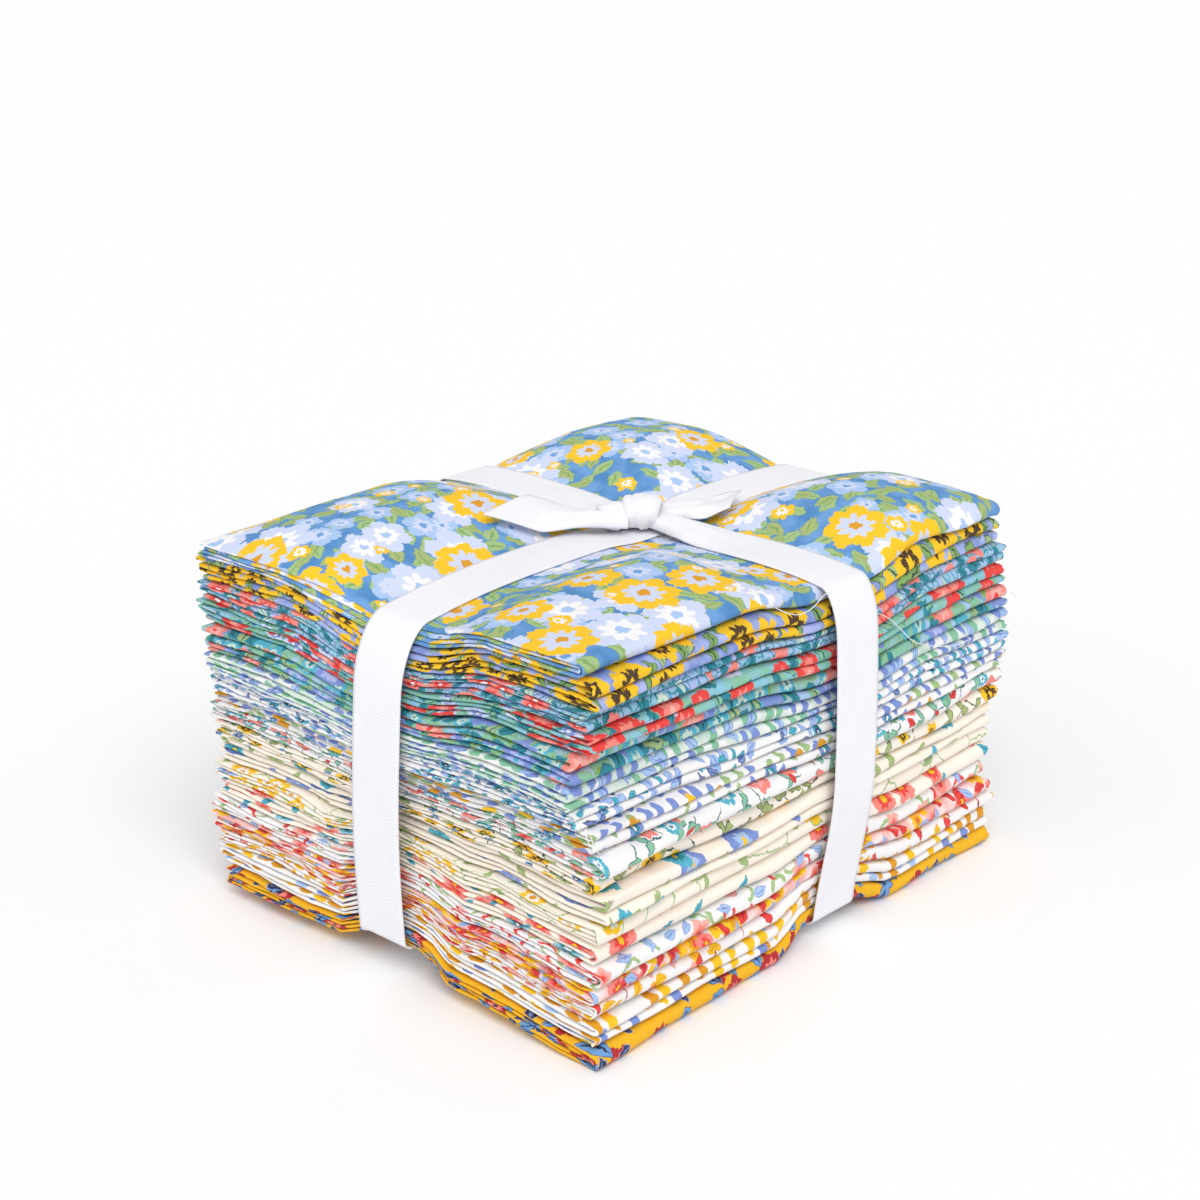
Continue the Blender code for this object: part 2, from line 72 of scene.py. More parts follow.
# The cuts from top to bottom. Thickness is the folded height. Rolls is the number of folds that show on the
# front, and upper the share of the height in the upper one. The rest says how far the cut stands out.
CUTS = table("thickness rolls upper left right front_left front_right back_left back_right", (
    (4.0, 1, 0.50, 1.0, -0.9, 0.0, -0.9, 0.5, -0.5),
    (6.3, 2, 0.54, 0.0, -1.4, 3.1, -1.0, 2.4, 0.8),
    (5.1, 2, 0.39, 0.3, 0.4, 0.6, 0.3, 1.9, 0.2),
    (5.1, 2, 0.50, 0.3, 0.6, 2.0, 0.5, 2.6, 1.4),
    (6.6, 2, 0.60, 2.2, 1.5, -2.0, 1.1, -0.7, -0.4),
    (5.6, 2, 0.64, 2.6, 1.7, -3.0, 1.4, -1.4, 1.2),
    (4.9, 2, 0.46, 1.5, 2.0, -1.8, 1.5, -1.8, 0.6),
    (5.0, 2, 0.42, -1.0, 1.9, 0.8, 1.5, 0.0, 1.8),
    (4.6, 1, 0.50, -1.4, 1.6, 3.9, 1.2, 3.2, 2.4),
    (4.2, 1, 0.50, -1.2, 0.8, 0.6, 0.7, 1.5, 0.5),
    (6.6, 2, 0.58, -2.6, -0.8, 4.0, -0.3, 1.2, 4.0),
    (4.5, 1, 0.50, -1.2, -1.1, 2.6, -0.9, 2.7, 2.2),
    (4.9, 1, 0.50, -1.4, -0.9, 1.3, -0.3, 0.6, -0.8),
    (4.6, 1, 0.50, -0.8, -1.5, 3.5, -1.3, 3.2, 1.6),
    (3.8, 1, 0.50, -0.4, 0.0, 2.1, 0.4, 3.2, 0.3),
    (3.9, 1, 0.50, -0.8, 0.6, 1.3, 0.7, 1.1, 1.3),
    (5.6, 2, 0.55, -0.7, 0.2, 2.2, 0.3, 1.4, -0.6),
    (4.4, 1, 0.50, 0.8, 0.3, 3.6, 0.5, -2.6, 0.9),
))
STACK_HEIGHT = sum(cut["thickness"] for cut in CUTS) + CLOTH_GAP * (len(CUTS) - 1)
print("cuts:", len(CUTS), "loose stack:", round(STACK_HEIGHT, 1), "mm")

# %% [markdown]
# ## How the ribbon presses the stack
# A tied stack swells between the two ribbon lines. Sculpting that cut by cut would leave gaps, so one pair
# of height maps does it for all: the height of the stack's top and of its underside at any x and y. A
# point of the loose, level stack is then moved to its share of the way between the two.

# %% Height maps
def ease(value):
    """Smooth step: 3v² - 2v³ for v held between 0 and 1."""
    value = np.clip(value, 0.0, 1.0)
    return value * value * (3.0 - 2.0 * value)


def pressed(x, y, reach, depths):
    """Depth of two crossing grooves. Each is level across the ribbon and eases out over reach beside it. Its
    depth goes from the centre's to the side's with the square of the way. They join by a sum of 4th powers.
    """
    def line(position, half, low, high):
        share = np.minimum(np.abs(position) / half, 1.0) ** 2
        return depths["centre"] + (np.where(position < 0.0, low, high) - depths["centre"]) * share

    def across(distance):
        return 1.0 - ease((np.abs(distance) - GROOVE_HALF_WIDTH) / reach)

    long_way = line(x, LENGTH / 2, depths["left"], depths["right"]) * across(y - LONG_LINE_Y)
    short_way = line(y, WIDTH / 2, depths["front"], depths["back"]) * across(x - SHORT_LINE_X)
    return (long_way ** 4 + short_way ** 4) ** 0.25


def dome(share_x, share_y, power):
    """1 in the middle, 0 at the edges: (1 - |share_x|ᵖ)(1 - |share_y|ᵖ) for shares of -1 to 1."""
    along, across = (np.minimum(np.abs(share), 1.0) ** power for share in (share_x, share_y))
    return (1.0 - along) * (1.0 - across)


def top_height(x, y):
    """The stack's top: a sheet through the four corner heights, plus a swell, and one more in three of the
    quadrants between the ribbons, less the grooves."""
    across = np.clip(x / LENGTH + 0.5, 0.0, 1.0)
    back = np.clip(y / WIDTH + 0.5, 0.0, 1.0)
    front_edge = TOP_CORNERS["front_left"] * (1.0 - across) + TOP_CORNERS["front_right"] * across
    back_edge = TOP_CORNERS["back_left"] * (1.0 - across) + TOP_CORNERS["back_right"] * across
    height = front_edge * (1.0 - back) + back_edge * back
    height = height + PILLOW_CROWN * dome(2 * x / LENGTH, 2 * y / WIDTH, SWELL_POWER)
    for side, way, puff in PUFFS:
        half_x = (LENGTH / 2 - side * SHORT_LINE_X - GROOVE_HALF_WIDTH) / 2
        half_y = (WIDTH / 2 - way * LONG_LINE_Y - GROOVE_HALF_WIDTH) / 2
        place_x = (side * (x - SHORT_LINE_X) - GROOVE_HALF_WIDTH) / half_x - 1.0
        place_y = (way * (y - LONG_LINE_Y) - GROOVE_HALF_WIDTH) / half_y - 1.0
        height = height + puff * dome(place_x, place_y, PUFF_POWER)
    return height - pressed(x, y, TOP_REACH, TOP_DIPS)


def base_height(x, y, reach=BASE_REACH):
    """The stack's underside: 0 where it rests, raised over the ribbon and at both ends."""
    left = LEFT_LIFT * ease((LIFT_STARTS[0] - x) / (LENGTH / 2 + LIFT_STARTS[0]))
    right = RIGHT_LIFT * ease((x - LIFT_STARTS[1]) / (LENGTH / 2 - LIFT_STARTS[1]))
    lift = np.maximum(left, right) * ease((y + WIDTH / 2) / LIFT_REACH)
    return np.maximum(pressed(x, y, reach, BASE_RISES), lift)


def settle(x, y, level):
    """Height in the tied stack of a point of the loose one. The ribbon's pull from below spreads as it goes
    up through the cloth."""
    share = level / STACK_HEIGHT
    low = base_height(x, y, BASE_REACH + BASE_SPREAD * np.clip(share, 0.0, 1.0))
    return low + (top_height(x, y) - low) * share


print("top at the crossing:", round(float(top_height(SHORT_LINE_X, LONG_LINE_Y)), 1), "mm")

# %% [markdown]
# ## Where the ribbon goes down the sides
# A tight ribbon does not turn a sharp corner on soft cloth. It rounds the top edge in a shoulder, follows
# the belly of the stack and tucks in at the foot. Each side has its own few sizes for that, and the same
# curve then presses the cut edges in behind the ribbon, so ribbon and cloth always agree.

# %% Sides of the ribbon
RIBBON_WIDTH = 16.0
RIBBON_THICKNESS = 0.4
FOOT_BEND = 2.5
TUCK_SHARE = 0.45
TOP_GAP, SIDE_GAP, UNDER_GAP = 0.15, 0.2, 0.3
PRESS_SOFTNESS = 4.0
PRESS_ROUNDS = 4
SIDES = {side["name"]: side for side in table(
    "name turned sign line foot_line reach shoulder drop bow tuck fade", (
        ("left", False, -1.0, LONG_LINE_Y, LONG_LINE_Y + 3.0, 81.3, 9.0, 17.0, 1.6, 0.6, 30.0),
        ("right", False, 1.0, LONG_LINE_Y, LONG_LINE_Y, 82.4, 5.0, 10.0, 0.5, 1.0, 14.0),
        ("front", True, -1.0, SHORT_LINE_X, SHORT_LINE_X, 68.9, 5.0, 13.0, 1.8, 3.6, 18.0),
        ("back", True, 1.0, SHORT_LINE_X, SHORT_LINE_X, 68.4, 4.0, 9.0, 0.5, 1.0, 14.0),
    ))}


def ribbon_top(x, y):
    """Height of the middle of a ribbon that lies on the cotton."""
    return top_height(x, y) + TOP_GAP + RIBBON_THICKNESS / 2


def ribbon_under(x, y):
    """Height of the middle of a ribbon that runs beneath the cotton."""
    return base_height(x, y) - UNDER_GAP - RIBBON_THICKNESS / 2


def at_side(side, out, across):
    """The x and y of a place so far out from the middle and so far across the side."""
    return (across, side["sign"] * out) if side["turned"] else (side["sign"] * out, across)


def strap_out(side, z, head, foot):
    """Distance of a strap from the middle at height z: its reach and a bow, less the quarter of an ellipse
    at its shoulder and a tuck at its foot."""
    rise = np.clip((z - foot) / (head - foot), 0.0, 1.0)
    turn = np.clip((z - head + side["drop"]) / side["drop"], 0.0, 1.0)
    shoulder = side["shoulder"] * (1.0 - np.sqrt(1.0 - turn * turn))
    tuck = side["tuck"] * (1.0 - ease(rise / TUCK_SHARE))
    return side["reach"] + 4.0 * side["bow"] * rise * (1.0 - rise) - shoulder - tuck


def strap_line(side, z, head, foot):
    """Place of a strap's middle across its side: it may lean towards its foot."""
    return side["line"] + (side["foot_line"] - side["line"]) * ease((head - z) / (head - foot))


for side in SIDES.values():
    side["top_end"] = side["reach"] - side["shoulder"]
    side["foot_end"] = side["reach"] - side["tuck"] - FOOT_BEND
    side["head"] = float(ribbon_top(*at_side(side, side["top_end"], side["line"])))
    side["foot"] = float(ribbon_under(*at_side(side, side["foot_end"], side["line"])))


def press_in(x, y, level):
    """Cloth behind a strap, moved in. Past limit - softness, a distance d from the middle becomes
    limit - softness exp(-(d - limit + softness) / softness), so it never reaches the limit. The limit depends
    on the height, which changes as the cloth moves, so it is worked out a few times over. Cloth beside the
    strap takes a share of what the cloth at the strap's edge does."""
    for side in SIDES.values():
        half = RIBBON_WIDTH / 2
        along, across = (y, x) if side["turned"] else (x, y)
        out = side["sign"] * along
        near = np.clip(across, side["line"] - half, side["line"] + half)
        head = ribbon_top(*at_side(side, side["top_end"], near))
        inner = out
        for _ in range(PRESS_ROUNDS):
            z = settle(*at_side(side, inner, near), level) + TOP_GAP
            limit = strap_out(side, z, head, side["foot"]) - RIBBON_THICKNESS / 2 - SIDE_GAP
            past = np.maximum(out - limit + PRESS_SOFTNESS, 0.0)
            soft = limit - PRESS_SOFTNESS * np.exp(-past / PRESS_SOFTNESS)
            inner = np.where(past > 0.0, np.minimum(soft, out), out)
        beside = np.abs(across - strap_line(side, z, head, side["foot"])) - half
        x, y = at_side(side, out + (1.0 - ease(beside / side["fade"])) * (inner - out), across)
    return x, y


print("shoulders:", {name: (round(side["head"], 1), round(side["foot"], 1)) for name, side in SIDES.items()})

# %% [markdown]
# ## Unevenness
# Hand-folded cloth is never straight. A few sine waves in random directions, added together, give a
# smooth wander that has no seam and is the same at every run, because the random numbers are seeded.

# %% Wander
WAVES = 6


def wander(seed, *pairs):
    """Sum of six sines, about -1 to 1. Each pair is a coordinate and the length over which it varies."""
    dice = np.random.default_rng(seed)
    total = 0.0
    for _ in range(WAVES):
        phase = dice.uniform(0.0, 2 * np.pi)
        for position, wavelength in pairs:
            turns = dice.uniform(0.5, 1.5) * dice.choice((-1.0, 1.0)) / wavelength
            phase = phase + 2 * np.pi * position * turns
        total = total + np.sin(phase)
    return total / WAVES ** 0.5 / 1.4


print("wander at 0, 0:", round(float(wander(1, (0.0, 10.0))), 3))

# %% [markdown]
# ## Meshes from grids
# Every sheet here is a function of two parameters, worked out as whole arrays. This helper turns the
# arrays into a mesh, with a UV map that holds the place on the flat cloth in millimetres.

# %% Grid to mesh
def add_sheet(name, x, y, z, flat_u, flat_v, material):
    """Mesh of a grid of points, rows by columns, in millimetres."""
    rows, columns = x.shape
    corners = np.arange(rows * columns).reshape(rows, columns)
    near, far = corners[:-1], corners[1:]
    quads = np.stack([near[:, :-1], near[:, 1:], far[:, 1:], far[:, :-1]], -1).reshape(-1, 4)
    mesh = bpy.data.meshes.new(name)
    points = np.stack([x, y, z], -1).reshape(-1, 3) * MILLIMETRE
    mesh.vertices.add(len(points))
    mesh.vertices.foreach_set("co", points.ravel())
    mesh.loops.add(quads.size)
    mesh.loops.foreach_set("vertex_index", quads.ravel().astype(np.int32))
    mesh.polygons.add(len(quads))
    mesh.polygons.foreach_set("loop_start", np.arange(0, quads.size, 4, dtype=np.int32))
    mesh.update(calc_edges=True)
    flat = np.stack([flat_u, flat_v], -1).reshape(-1, 2)[quads.ravel()]
    mesh.uv_layers.new(name="flat").data.foreach_set("uv", flat.ravel())
    mesh.shade_smooth()
    mesh.materials.append(material)
    piece = bpy.data.objects.new(name, mesh)
    bpy.context.scene.collection.objects.link(piece)
    return piece


# %% [markdown]
# ## Shader maths
# A print is a rule that turns a place on the flat cloth into a colour. Such a rule is easiest to read as
# an expression, so this small class wraps a node socket and lets Python's own signs add the Math nodes.

# %% Wires
class Wire:
    """One socket of a material. An expression on wires adds the nodes that work it out."""

    def __init__(self, tree, socket=None):
        self.tree = tree
        self.socket = socket

    def node(self, kind, settings, inputs, output=0):
        """Add one node: its settings first, then a value or a wire for each input socket."""
        made = self.tree.nodes.new("ShaderNode" + kind)
        for name, value in settings.items():
            setattr(made, name, value)
        for key, value in inputs.items():
            if isinstance(value, Wire):
                self.tree.links.new(value.socket, made.inputs[key])
            else:
                made.inputs[key].default_value = value
        return Wire(self.tree, made.outputs[output])

    def other(self, output):
        """Another output of the same node."""
        return Wire(self.tree, self.socket.node.outputs[output])

    def maths(self, operation, *others, clamp=False):
        """A Math node on this wire and the others."""
        return self.node("Math", {"operation": operation, "use_clamp": clamp}, dict(enumerate((self, *others))))

    def __add__(self, other):
        return self.maths("ADD", other)

    __radd__ = __add__

    def __sub__(self, other):
        return self.maths("SUBTRACT", other)

    def __rsub__(self, other):
        return self.node("Math", {"operation": "SUBTRACT"}, {0: other, 1: self})

    def __mul__(self, other):
        return self.maths("MULTIPLY", other)

    __rmul__ = __mul__

    def __truediv__(self, other):
        return self.maths("DIVIDE", other)

    def __lt__(self, other):
        return self.maths("LESS_THAN", other)

    def size(self):
        return self.maths("ABSOLUTE")


def paint(code):
    """A colour as nodes want it, from its six-digit web code."""
    channels = np.array([int(code[place:place + 2], 16) for place in (0, 2, 4)]) / 255
    linear = np.where(channels <= 0.04045, channels / 12.92, ((channels + 0.055) / 1.055) ** 2.4)
    return (*[float(channel) for channel in linear], 1.0)


def lay(under, over, mask):
    """One colour over another where the mask is 1. Each colour is a wire or four plain numbers."""
    return mask.node("Mix", {"data_type": "RGBA"}, {0: mask, 6: under, 7: over}, 2)


# %% [markdown]
# ## Motifs
# Small prints are drawn from a handful of motifs, each set down again and again. A Voronoi texture gives
# the places: for any point it knows the nearest one and a random colour, which turns the motif and decides
# whether it is printed there at all. The edges are soft over the width of a thread, as printed ink is.

# %% Motif places
INK_EDGE = 0.22


def inside(depth):
    """1 where the depth is above 0, soft over the ink's edge."""
    return (depth / INK_EDGE).maths("ADD", 0.5, clamp=True)


def scatter(cloth, row, looseness=0.8, first_turn=0.0, turns=2 * np.pi):
    """The turned way x, y from the nearest motif, a mask that is 1 where that motif is printed, and one more
    chance of 0 to 1 that is its own."""
    seed = row["seed"]
    moved = cloth.node("VectorMath", {"operation": "ADD"}, {0: cloth, 1: (seed * 37.3, seed * 23.9, 0.0)})
    place = moved.node("TexVoronoi", {"voronoi_dimensions": "2D", "feature": "F1"},
                       {"Vector": moved, "Scale": 1.0 / row["spacing"], "Randomness": looseness}, "Position")
    chances = place.node("SeparateXYZ", {}, {0: place.other("Color")})
    away = moved.node("VectorMath", {"operation": "SUBTRACT"}, {0: moved, 1: place})
    turned = away.node("VectorRotate", {"rotation_type": "Z_AXIS"},
                       {"Vector": away, "Angle": chances * turns + first_turn})
    x = turned.node("SeparateXYZ", {}, {0: turned})
    return x, x.other(1), chances.other(1) < row["share"], chances.other(2)


# %% Flowers
def flower_shape(x, y, reach, petals, depth):
    """Depth inside a flower of round petals: reach times 1 - depth + depth |cos(petals angle / 2)|, with a
    fine frill of five waves a petal, less the way from its middle."""
    away = (x * x + y * y).maths("SQRT")
    angle = y.maths("ARCTAN2", x)
    lobes = (angle * (petals / 2)).maths("COSINE").size() + (angle * (petals * 5)).maths("COSINE") * 0.12
    return (lobes * depth + (1.0 - depth)) * reach - away


def print_flower(cloth, under, row):
    """Outer petals, a paler frilled heart and an eye. No two are the same size: 0.7 to 1.2 of the reach."""
    x, y, shown, choice = scatter(cloth, row)
    reach = choice * (0.5 * row["reach"]) + 0.7 * row["reach"]
    petals = inside(flower_shape(x, y, reach, row["form"], 0.26)) * shown
    heart = inside(flower_shape(x, y, reach * 0.56, row["form"] + 2, 0.4)) * shown
    eye = inside(flower_shape(x, y, reach * 0.2, 5, 0.2)) * shown
    return lay(lay(lay(under, row["first"], petals), row["second"], heart), row["third"], eye)


# %% Leaves
def leaf_shape(x, y, reach, width):
    """Depth inside a leaf: width times 1 - (x / reach)², less the way from its rib."""
    along = x / reach
    return (1.0 - along * along) * width - y.size()


def print_leaf(cloth, under, row):
    """Single leaves with an outline and a rib of another colour."""
    x, y, shown, _ = scatter(cloth, row)
    width = row["reach"] * row["form"]
    depth = leaf_shape(x, y, row["reach"], width)
    rib = inside(leaf_shape(x, y, row["reach"] * 0.8, width * 0.2)) * shown
    outlined = lay(under, row["second"], inside(depth + 0.2) * shown)
    return lay(lay(outlined, row["first"], inside(depth) * shown), row["second"], rib)


def print_pair(cloth, under, row):
    """Two leaves that open from a short stem, each with an outline."""
    x, y, shown, _ = scatter(cloth, row)
    lean, reach = 0.8, row["reach"]
    side = y.size()
    along = x * np.cos(lean) + side * np.sin(lean) - reach
    across = side * np.cos(lean) - x * np.sin(lean)
    depth = leaf_shape(along, across, reach, reach * row["form"])
    stem = inside(leaf_shape(x + reach, y, reach * 1.4, 0.22)) * shown
    outer = lay(lay(under, row["second"], stem), row["second"], inside(depth + 0.25) * shown)
    return lay(outer, row["first"], inside(depth) * shown)


# %% Ovals, arcs and vines
def print_oval(cloth, under, row):
    """Blunt ovals in loose rows, all much the same way up, each in one of two colours."""
    x, y, shown, choice = scatter(cloth, row, 0.45, 1.3, 0.5)
    width = row["reach"] * row["form"]
    away = (x * x / (row["reach"] ** 2) + y * y / (width ** 2)).maths("SQRT")
    return lay(under, lay(row["first"], row["second"], choice < 0.5), inside((1.0 - away) * width) * shown)


def print_arc(cloth, under, row):
    """Bent strokes: part of a ring about each place."""
    x, y, shown, _ = scatter(cloth, row)
    ring = row["form"] - ((x * x + y * y).maths("SQRT") - row["reach"]).size()
    return lay(under, row["first"], inside(ring) * inside(x) * shown)


def print_vine(cloth, under, row):
    """Thin wandering stems, along the borders between places."""
    edge = cloth.node("TexVoronoi", {"voronoi_dimensions": "2D", "feature": "DISTANCE_TO_EDGE"},
                      {"Vector": cloth, "Scale": 1.0 / row["spacing"], "Randomness": 1.0}, 0)
    return lay(under, row["first"], inside(row["reach"] - edge * row["spacing"]))


MOTIFS = {"flower": print_flower, "leaf": print_leaf, "pair": print_pair, "oval": print_oval,
          "arc": print_arc, "vine": print_vine}
print("motifs:", ", ".join(MOTIFS))

# %% [markdown]
# ## The prints
# Each cut has its own small print. The colours and the scale follow the cloth in the picture. The motifs
# are ordinary flowers, leaves, ovals and stems in a layout of their own.

# %% Colours and print table
COLOURS = {name: paint(code) for name, code in (
    ("blue", "6C9FD8"), ("deep blue", "4A86C0"), ("pale blue", "A9C6EE"), ("sky", "8CC5DD"),
    ("teal", "23899B"), ("dark teal", "15606B"), ("cyan", "4FB1CB"), ("navy", "22314F"),
    ("periwinkle", "AFBCEB"), ("iris", "7C92D3"), ("lilac", "CFD8F3"), ("white", "F3F2F2"),
    ("cream", "FAF1E4"), ("yellow", "F7C510"), ("gold", "DD9A0C"), ("mustard", "EFB50A"),
    ("sage", "A3C085"), ("leaf", "80A85C"), ("mint", "86C1A0"), ("pale mint", "CBE0D2"),
    ("dark green", "2B4C3D"), ("olive", "A7B676"), ("coral", "F58A80"), ("red", "E8413C"),
    ("dark red", "B3232A"), ("pink", "F7B0A6"), ("brown", "4A3318"),
)}

GROUNDS = ("blue", "periwinkle", "sky", "sky", "pale blue", "pale mint", "white", "white", "white", "cream",
           "cream", "cream", "cream", "white", "white", "white", "white", "mustard")
SHADOWS = ("deep blue", "iris", "periwinkle", "mint", "mint", "white", "white", "white", "white", "cream",
           "cream", "cream", "cream", "white", "pink", "white", "white", "mustard")

PRINTS = table("cut motif spacing reach form share first second third", (
    (1, "leaf", 7.0, 3.6, 0.46, 0.9, "sage", "leaf"),
    (1, "leaf", 8.0, 3.6, 0.42, 0.8, "olive", "leaf"),
    (1, "flower", 12.0, 5.2, 5, 0.6, "pale blue", "lilac", "blue"),
    (1, "flower", 18.0, 8.2, 6, 0.65, "lilac", "white", "pale blue"),
    (1, "flower", 19.0, 7.6, 7, 0.5, "yellow", "lilac", "gold"),
    (1, "flower", 13.0, 2.6, 6, 0.35, "yellow", "white", "yellow"),
    (2, "leaf", 7.0, 3.4, 0.36, 0.9, "leaf", "dark green"),
    (2, "leaf", 8.0, 2.8, 0.4, 0.8, "sage", "dark green"),
    (2, "flower", 12.0, 5.4, 7, 0.95, "yellow", "brown", "yellow"),
    (3, "vine", 2.6, 0.16, 0, 1.0, "teal"),
    (3, "leaf", 5.0, 2.4, 0.5, 0.75, "teal", "dark teal"),
    (3, "leaf", 6.5, 2.8, 0.42, 0.7, "pale mint", "teal"),
    (3, "flower", 10.0, 4.2, 5, 0.7, "coral", "red", "white"),
    (4, "leaf", 6.5, 3.0, 0.46, 0.75, "teal", "dark teal"),
    (4, "leaf", 6.5, 3.0, 0.44, 0.7, "mint", "dark teal"),
    (4, "flower", 10.0, 3.4, 5, 0.6, "lilac", "iris", "white"),
    (4, "flower", 12.5, 5.2, 6, 0.85, "red", "coral", "pink"),
    (5, "leaf", 7.0, 3.8, 0.5, 0.95, "mint", "leaf"),
    (5, "leaf", 6.0, 2.8, 0.5, 0.75, "teal", "dark teal"),
    (5, "leaf", 8.0, 3.2, 0.46, 0.6, "sage", "dark teal"),
    (5, "flower", 9.0, 3.2, 5, 0.6, "cyan", "pale mint", "teal"),
    (5, "flower", 13.0, 5.0, 6, 0.5, "iris", "periwinkle", "cyan"),
    (5, "flower", 17.0, 4.6, 6, 0.6, "coral", "pink", "red"),
    (6, "oval", 4.4, 1.9, 0.62, 0.95, "iris", "mint"),
    (6, "leaf", 7.0, 2.6, 0.4, 0.7, "pale blue", "iris"),
    (7, "leaf", 5.0, 2.0, 0.42, 0.85, "pale blue", "iris"),
    (7, "leaf", 4.6, 1.5, 0.36, 0.6, "cyan", "teal"),
    (7, "leaf", 6.0, 1.7, 0.34, 0.6, "iris", "navy"),
    (7, "flower", 8.0, 1.9, 5, 0.6, "cyan", "navy", "white"),
    (8, "oval", 4.6, 1.9, 0.62, 0.95, "iris", "sage"),
    (8, "oval", 9.0, 2.4, 0.7, 0.6, "yellow", "gold"),
    (8, "flower", 12.0, 2.4, 5, 0.45, "iris", "teal", "white"),
    (9, "pair", 7.0, 1.8, 0.45, 0.95, "mint", "dark teal"),
    (9, "flower", 9.5, 2.9, 5, 0.65, "coral", "pink", "teal"),
    (9, "flower", 12.0, 2.6, 7, 0.5, "cyan", "white", "teal"),
    (9, "leaf", 8.0, 1.5, 0.45, 0.35, "red", "dark red"),
    (10, "pair", 7.0, 1.8, 0.45, 0.95, "olive", "dark green"),
    (10, "flower", 12.0, 3.2, 7, 0.75, "yellow", "brown", "yellow"),
    (10, "flower", 9.0, 1.7, 5, 0.45, "blue", "navy", "white"),
    (11, "leaf", 10.0, 3.0, 0.36, 0.45, "olive", "sage"),
    (11, "flower", 15.0, 4.8, 5, 0.45, "iris", "pale blue", "yellow"),
    (11, "flower", 19.0, 3.8, 6, 0.4, "cyan", "teal", "yellow"),
    (12, "vine", 13.0, 0.22, 0, 1.0, "sage"),
    (12, "leaf", 8.0, 2.4, 0.34, 0.55, "sage", "olive"),
    (12, "flower", 13.0, 4.2, 6, 0.55, "yellow", "white", "gold"),
    (12, "flower", 20.0, 3.8, 5, 0.4, "pale blue", "iris", "yellow"),
    (13, "leaf", 10.0, 2.8, 0.36, 0.5, "cyan", "teal"),
    (13, "flower", 14.0, 4.4, 5, 0.7, "coral", "red", "yellow"),
    (13, "flower", 17.0, 3.8, 6, 0.4, "sky", "teal", "white"),
    (14, "arc", 9.0, 2.6, 0.5, 0.8, "sage"),
    (14, "flower", 11.0, 3.4, 5, 0.75, "pink", "coral", "red"),
    (14, "arc", 11.0, 3.2, 0.55, 0.65, "red"),
    (14, "leaf", 8.0, 2.2, 0.4, 0.5, "pale blue", "iris"),
    (15, "flower", 8.0, 3.2, 5, 0.8, "yellow", "gold", "red"),
    (15, "flower", 9.0, 3.0, 5, 0.45, "coral", "red", "yellow"),
    (15, "leaf", 6.0, 2.2, 0.42, 0.6, "red", "dark red"),
    (15, "leaf", 7.0, 2.2, 0.42, 0.5, "pale blue", "iris"),
    (16, "leaf", 5.0, 2.2, 0.46, 0.85, "yellow", "gold"),
    (16, "pair", 8.5, 2.0, 0.5, 0.65, "red", "dark red"),
    (16, "flower", 8.0, 2.2, 5, 0.55, "pink", "coral", "navy"),
    (17, "oval", 6.0, 2.4, 0.62, 0.9, "yellow", "gold"),
    (17, "oval", 8.0, 2.4, 0.62, 0.7, "pale blue", "iris"),
    (18, "flower", 12.0, 4.2, 6, 0.6, "dark red", "coral", "navy"),
    (18, "leaf", 8.0, 3.4, 0.5, 0.7, "blue", "navy"),
    (18, "leaf", 7.0, 2.6, 0.44, 0.5, "navy", "iris"),
))

# %% [markdown]
# ## Printed cotton
# Quilting cotton is a plain weave of about 70 threads to the inch, matt and soft. The weave is a small bump
# that changes sign from thread to thread, and broader, fainter bumps stand for handling. The ink wanders by
# half a millimetre, so no motif has a ruled edge.

# %% Cotton material
THREAD = 0.36
INK_WANDER = 1.9
HANDLING = 9.0


def cloth_place(tree):
    """The place on the flat cloth, in millimetres, from the sheet's own UV map."""
    return Wire(tree).node("UVMap", {"uv_map": "flat"}, {})


def weave(place, across, along):
    """Plain weave: the product of two sines, one along each set of threads."""
    u = place.node("SeparateXYZ", {}, {0: place})
    return (u * (np.pi / across)).maths("SINE") * (u.other(1) * (np.pi / along)).maths("SINE")


def new_material(name):
    """An empty material, its node tree and its shader."""
    material = bpy.data.materials.new(name)
    material.use_nodes = True
    return material, material.node_tree, material.node_tree.nodes["Principled BSDF"]


def finish_cloth(tree, shader, colour, height, depth, roughness):
    """Join a cloth's colour and its bump to the shader, and set what is the same all over."""
    bump = height.node("Bump", {}, {"Strength": 0.6, "Distance": depth, "Height": height})
    tree.links.new(colour.socket, shader.inputs["Base Color"])
    tree.links.new(bump.socket, shader.inputs["Normal"])
    shader.inputs["Roughness"].default_value = roughness
    shader.inputs["Specular IOR Level"].default_value = 0.15
    shader.inputs["Sheen Weight"].default_value = 0.03
    shader.inputs["Sheen Roughness"].default_value = 0.5


